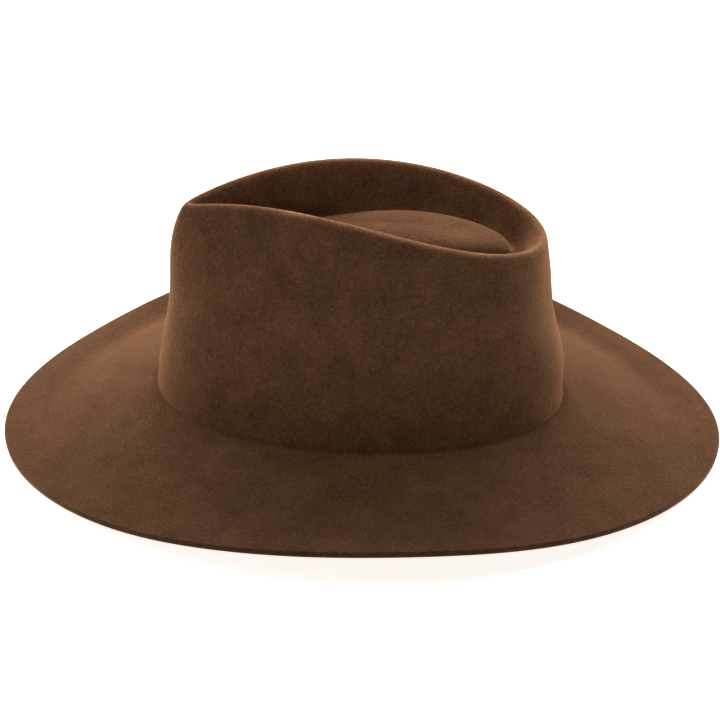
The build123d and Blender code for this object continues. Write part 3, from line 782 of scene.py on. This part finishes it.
def oval_rings(wall, largest, drop, pleats=0.0):
    """Rings of a sagging oval inside the piping, which shrink nearly to its middle, and that middle."""
    rim = tip_rim(wall)
    middle = rim.mean(axis=0)
    rings = []
    for size in np.linspace(1, SMALLEST_OVAL, 34) * largest:
        row = middle + (rim - middle) * size
        row[:, 2] += pleats * eased(size, *TIP_PLEATS) - TIP_SAG * (1 - size * size) - drop
        rings.append(row)
    return np.stack(rings), rings[-1].mean(axis=0)


def oval_sheet(name, wall, largest, drop, thickness, material, replaces, pleats=0.0):
    """A thin sagging sheet inside the piping. Largest is its outline's share of the piping's."""
    over, over_middle = oval_rings(wall, largest, drop, pleats)
    under, under_middle = oval_rings(wall, largest, drop + thickness, pleats)
    rings = np.concatenate([over[::-1], under])
    return rings_with_ends(name, rings, over_middle, under_middle, material, replaces)


def lining_tip(material):
    wall = whole_wall(TIP_COLUMNS)
    pleats = TIP_PLEAT * gathers(wall.angles, seed=6)
    piece = oval_sheet("lining_tip_satin", wall, 1.0, 0, SATIN, material, "lining_tip", pleats)
    rim = tip_rim(wall)


def lining_piping(material):
    """A cord in folded satin. The cloth winds a little as it goes round."""
    wall = whole_wall(PIPING_COLUMNS)
    rings = []
    for turn in np.linspace(0, 2 * math.pi, 16, endpoint=False):
        radius = PIPING_RADIUS * (0.95 + 0.05 * np.cos(3 * turn + PIPING_WINDS * wall.angles))
        rings.append(wall.line(TIP_INSET + radius * math.cos(turn), TIP_HEIGHT + radius * math.sin(turn)))
    swept("lining_piping_cord", np.stack(rings), material, "lining_piping")


def tip_protector(material):
    oval_sheet("tip_film", whole_wall(FILM_COLUMNS), PROTECTOR_SHARE, SATIN + GAP, PROTECTOR, material,
               "tip_protector")


def protector_stitches(material):
    """Running stitches just inside the film's edge."""
    number = np.arange(PROTECTOR_STITCHES)[:, None]
    share = np.linspace(-1, 1, STITCH_STEPS)[None]
    angles = 2 * math.pi * (number + HALF_FILM_STITCH * share) / PROTECTOR_STITCHES
    middle = tip_rim(whole_wall(FILM_COLUMNS)).mean(axis=0)
    size = PROTECTOR_SHARE * STITCH_LINE
    paths = (middle + (tip_rim(Wall(angles.ravel())) - middle) * size).reshape(*angles.shape, 3)
    paths[..., 2] -= TIP_SAG * (1 - size * size) + SATIN + GAP + PROTECTOR + THREAD_RADIUS
    paths[..., 2] += end_dip(share)
    threads("film_thread", paths, material, "tip_protector_stitches")


# ---------------------------------------------------------------- materials of the inside
LEATHER_DARK, LEATHER_LIGHT = (0.115, 0.052, 0.024), (0.205, 0.100, 0.048)
FILM_DARK, FILM_LIGHT, FILM_IOR = (0.93, 0.93, 0.92), (0.98, 0.98, 0.97), 1.46
WAVE_BANDS = 0.314  # a wave texture's scale for one band in each unit
WEAVE_SHARE, UNEVEN_SHARE = 0.6, 0.4
SHEEN_OVER_LIGHT = 6  # how much paler the sheen is than the cloth's light colour
# dark and light colour, threads per mm along and across, relief in mm, roughness and sheen
WEAVES = {
    "tape": ((0.050, 0.028, 0.017), (0.130, 0.078, 0.048), (1.6, 3.0), 0.15, 0.8, 0.2),
    "ribbon": ((0.030, 0.016, 0.010), (0.090, 0.050, 0.030), (2.2, 6.0), 0.12, 0.55, 0.3),
    "satin": ((0.060, 0.030, 0.016), (0.150, 0.082, 0.044), (7.0, 2.5), 0.03, 0.3, 0.25),
    "piping": ((0.040, 0.022, 0.013), (0.110, 0.060, 0.034), (3.0, 3.0), 0.06, 0.45, 0.25),
    "label": ((0.42, 0.35, 0.25), (0.66, 0.58, 0.45), (5.0, 3.0), 0.05, 0.5, 0.2),
    "backing": ((0.060, 0.036, 0.022), (0.150, 0.095, 0.060), (3.0, 3.0), 0.08, 0.8, 0.2),
}
# dark and light colour, patches per metre and roughness. The last two are for the CAD's own pieces
THREAD_LOOK = ((0.150, 0.085, 0.045), (0.300, 0.180, 0.100), 900, 0.6)
REED_LOOK = ((0.70, 0.66, 0.58), (0.82, 0.79, 0.71), 300, 0.35)
SLEEVE_LOOK = ((0.45, 0.44, 0.42), (0.60, 0.59, 0.56), 400, 0.3)


def leather_material():
    """Smooth brown sheepskin with a fine pebble grain, a little scuffed."""
    material, nodes, links, shader = new_material("leather")
    place = nodes.new("ShaderNodeTexCoord").outputs["Object"]
    grain = nodes.new("ShaderNodeTexVoronoi")
    grain.feature = "SMOOTH_F1"
    grain.inputs["Scale"].default_value = 1100
    links.new(place, grain.inputs["Vector"])
    patches = noise(nodes, links, place, scale=60, detail=5.0, roughness=0.6)
    colour = ramp(nodes, links, patches, [(0.3, LEATHER_DARK), (0.7, LEATHER_LIGHT)])
    links.new(colour, shader.inputs["Base Color"])
    pores = bump(nodes, links, grain.outputs["Distance"], strength=0.4, distance=0.00025)
    links.new(bump(nodes, links, patches, strength=0.3, distance=0.0006, normal=pores),
              shader.inputs["Normal"])
    wear_and_painted_light = ramp(nodes, links, patches, [(0.3, (0.55,) * 3), (0.7, (0.4,) * 3)])
    links.new(wear_and_painted_light, shader.inputs["Roughness"])
    return material


def woven_material(name, dark, light, threads_per_mm, relief, roughness, sheen):
    """Plain or ribbed cloth, woven along its cloth coordinates, which are in mm."""
    material, nodes, links, shader = new_material(name)
    cloth = nodes.new("ShaderNodeUVMap")
    cloth.uv_map = "cloth"
    waves = []
    for direction, count in zip(("X", "Y"), threads_per_mm):
        wave = nodes.new("ShaderNodeTexWave")
        wave.bands_direction = direction
        wave.inputs["Scale"].default_value = count * WAVE_BANDS
        wave.inputs["Distortion"].default_value = 0.8
        wave.inputs["Detail Scale"].default_value = 0.4
        links.new(cloth.outputs["UV"], wave.inputs["Vector"])
        waves.append(wave.outputs["Fac"])
    weave = math_node(nodes, links, "MULTIPLY", *waves)
    place = nodes.new("ShaderNodeTexCoord").outputs["Object"]
    uneven = noise(nodes, links, place, scale=140, detail=4.0, roughness=0.6)
    mixed = added(nodes, links, [(weave, WEAVE_SHARE), (uneven, UNEVEN_SHARE)])
    links.new(ramp(nodes, links, mixed, [(0.15, dark), (0.75, light)]), shader.inputs["Base Color"])
    links.new(bump(nodes, links, weave, strength=0.6, distance=relief * MM), shader.inputs["Normal"])
    shader.inputs["Roughness"].default_value = roughness
    shader.inputs["Sheen Weight"].default_value = sheen
    shader.inputs["Sheen Roughness"].default_value = 0.4
    tint = [min(1.0, SHEEN_OVER_LIGHT * channel) for channel in light]
    shader.inputs["Sheen Tint"].default_value = (*tint, 1)
    return material


def plain_material(name, dark, light, scale, roughness, relief=0.0001):
    """One substance with slight colour variation and a fine surface."""
    material, nodes, links, shader = new_material(name)
    place = nodes.new("ShaderNodeTexCoord").outputs["Object"]
    patches = noise(nodes, links, place, scale, detail=4.0, roughness=0.6)
    links.new(ramp(nodes, links, patches, [(0.3, dark), (0.7, light)]), shader.inputs["Base Color"])
    links.new(bump(nodes, links, patches, strength=0.5, distance=relief), shader.inputs["Normal"])
    shader.inputs["Roughness"].default_value = roughness
    return material


def film_material():
    """Clear soft film with faint creases."""
    material = plain_material("clear_film", FILM_DARK, FILM_LIGHT, 90, 0.12, relief=0.0004)
    shader = material.node_tree.nodes["Principled BSDF"]
    shader.inputs["Transmission Weight"].default_value = 1.0
    shader.inputs["IOR"].default_value = FILM_IOR
    return material


def cover_cad_piece(name, material):
    """A CAD piece that stays as it is gets a material."""
    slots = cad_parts[name].data.materials
    slots.clear()
    slots.append(material)


def build_inside():
    leather = leather_material()
    cloths = {name: woven_material(name, *look) for name, look in WEAVES.items()}
    thread = plain_material("thread", *THREAD_LOOK)
    sweatband(leather)
    reed_tape(cloths["tape"])
    wall_stitches("zigzag_thread", SWEAT_FOOT + LEATHER + THREAD_RADIUS, SWEAT_BOTTOM - ZIGZAG_BELOW,
                  SWEAT_BOTTOM + ZIGZAG_ABOVE, ZIGZAG_LEAN, thread, "sweatband_zigzag")
    flap_middle = (FLAP_TOP + REED_Z + REED_HOLE) / 2
    wall_stitches("sewing_thread", GAP + TAPE + THREAD_RADIUS, flap_middle, flap_middle, SEWING_LEAN,
                  thread, "sweatband_sewing")
    patch("joint_backing_tape", BACK, JOINT_WIDTH, SWEAT_BOTTOM + BACKING_LOW, SWEAT_TOP - BACKING_HIGH,
          -LEATHER - 3 * TOUCH - BACKING, BACKING, cloths["backing"], "sweatband_joint_backing")
    joint_stitches(thread)
    patch("blank_label", LABEL_ANGLE, LABEL_WIDTH, LABEL_LOW, LABEL_HIGH, TOUCH, SATIN, cloths["label"],
          "size_label")
    label_stitches(thread)
    bow_loops(cloths["ribbon"])
    bow_knot(cloths["ribbon"])
    lining_piping(cloths["piping"])
    lining_side_band(cloths["satin"])
    lining_tip(cloths["satin"])
    tip_protector(film_material())
    protector_stitches(thread)
    cover_cad_piece("reed", plain_material("reed", *REED_LOOK))
    cover_cad_piece("reed_sleeve", plain_material("sleeve", *SLEEVE_LOOK))


felt_body(felt_material())
build_inside()

# ---------------------------------------------------------------- light, floor and camera
PALE = (0.93, 0.92, 0.90)
SKY, SKY_STRENGTH = (1.0, 0.985, 0.96), 0.03
FLOOR_REACH, FLOOR_GLOW = 6.0, 0.95
LIT_POINT = (0, 0, 0.08)


def around_hat(turn, lift, distance):
    """A place behind the hat, turned towards its back (+) or front (-), at a height angle."""
    turn, lift = math.radians(turn), math.radians(lift)
    return (-distance * math.cos(lift) * math.cos(turn), distance * math.cos(lift) * math.sin(turn),
            distance * math.sin(lift))


# name, place, size and power
LIGHTS = (("back_softbox", around_hat(0, 34, 1.7), (1.6, 0.5), 41),
          ("left_strip", around_hat(-48, 12, 1.6), (0.4, 0.5), 13),
          ("right_strip", around_hat(48, 12, 1.6), (0.4, 0.5), 11),
          ("left_side", around_hat(-78, 28, 1.6), (0.6, 0.7), 1.5),
          ("right_side", around_hat(78, 28, 1.6), (0.6, 0.7), 1.5),
          ("top_fill", (0.15, 0, 1.65), (0.9, 0.9), 10.5),
          ("front_fill", (0.75, -0.95, 1.15), (1.0, 0.8), 2.8))


def area_light(name, place, size, power):
    """A rectangular light that faces the hat's middle."""
    data = bpy.data.lights.new(name, "AREA")
    data.shape = "RECTANGLE"
    data.size, data.size_y = size
    data.energy = power
    light = bpy.data.objects.new(name, data)
    turn = (Vector(LIT_POINT) - Vector(place)).to_track_quat("-Z", "Y")
    light.matrix_world = Matrix.Translation(place) @ turn.to_matrix().to_4x4()
    bpy.context.scene.collection.objects.link(light)


def floor():
    """A pale ground that glows enough to lose its edge in the background."""
    reach = FLOOR_REACH
    mesh = bpy.data.meshes.new("floor")
    corners = [(-reach, -reach, 0), (reach, -reach, 0), (reach, reach, 0), (-reach, reach, 0)]
    mesh.from_pydata(corners, [], [(0, 1, 2, 3)])
    ground = bpy.data.objects.new("floor", mesh)
    bpy.context.scene.collection.objects.link(ground)
    material, *_, shader = new_material("floor")
    shader.inputs["Base Color"].default_value = (*PALE, 1)
    shader.inputs["Roughness"].default_value = 0.9
    shader.inputs["Emission Color"].default_value = (*PALE, 1)
    shader.inputs["Emission Strength"].default_value = FLOOR_GLOW
    ground.data.materials.append(material)


def studio():
    world = bpy.data.worlds.new("studio")
    bpy.context.scene.world = world
    world.use_nodes = True
    background = world.node_tree.nodes["Background"]
    background.inputs["Color"].default_value = (*SKY, 1)
    background.inputs["Strength"].default_value = SKY_STRENGTH
    for light in LIGHTS:
        area_light(*light)
    floor()


CAMERA_ELEVATION = 26.77
CAMERA_TURN = -2.96  # from looking along -X
CAMERA_ROLL = 1.31
CAMERA_DISTANCE = 1.845
LENS, SENSOR = 174.8, 36.0
AIM = (0.0, -0.0022, 0.041)


def camera():
    data = bpy.data.cameras.new("camera")
    data.lens, data.sensor_width = LENS, SENSOR
    data.clip_start, data.clip_end = 0.01, 50
    lift, turn = math.radians(CAMERA_ELEVATION), math.radians(CAMERA_TURN)
    away = Vector((math.cos(lift) * math.cos(turn), math.cos(lift) * math.sin(turn), math.sin(lift)))
    place = Vector(AIM) + away * CAMERA_DISTANCE
    rig = bpy.data.objects.new("camera", data)
    aim = (-away).to_track_quat("-Z", "Y").to_matrix().to_4x4()
    rig.matrix_world = Matrix.Translation(place) @ aim @ Matrix.Rotation(math.radians(CAMERA_ROLL), 4, "Z")
    bpy.context.scene.collection.objects.link(rig)
    bpy.context.scene.camera = rig


studio()
camera()
bpy.context.scene.view_settings.view_transform = "Standard"
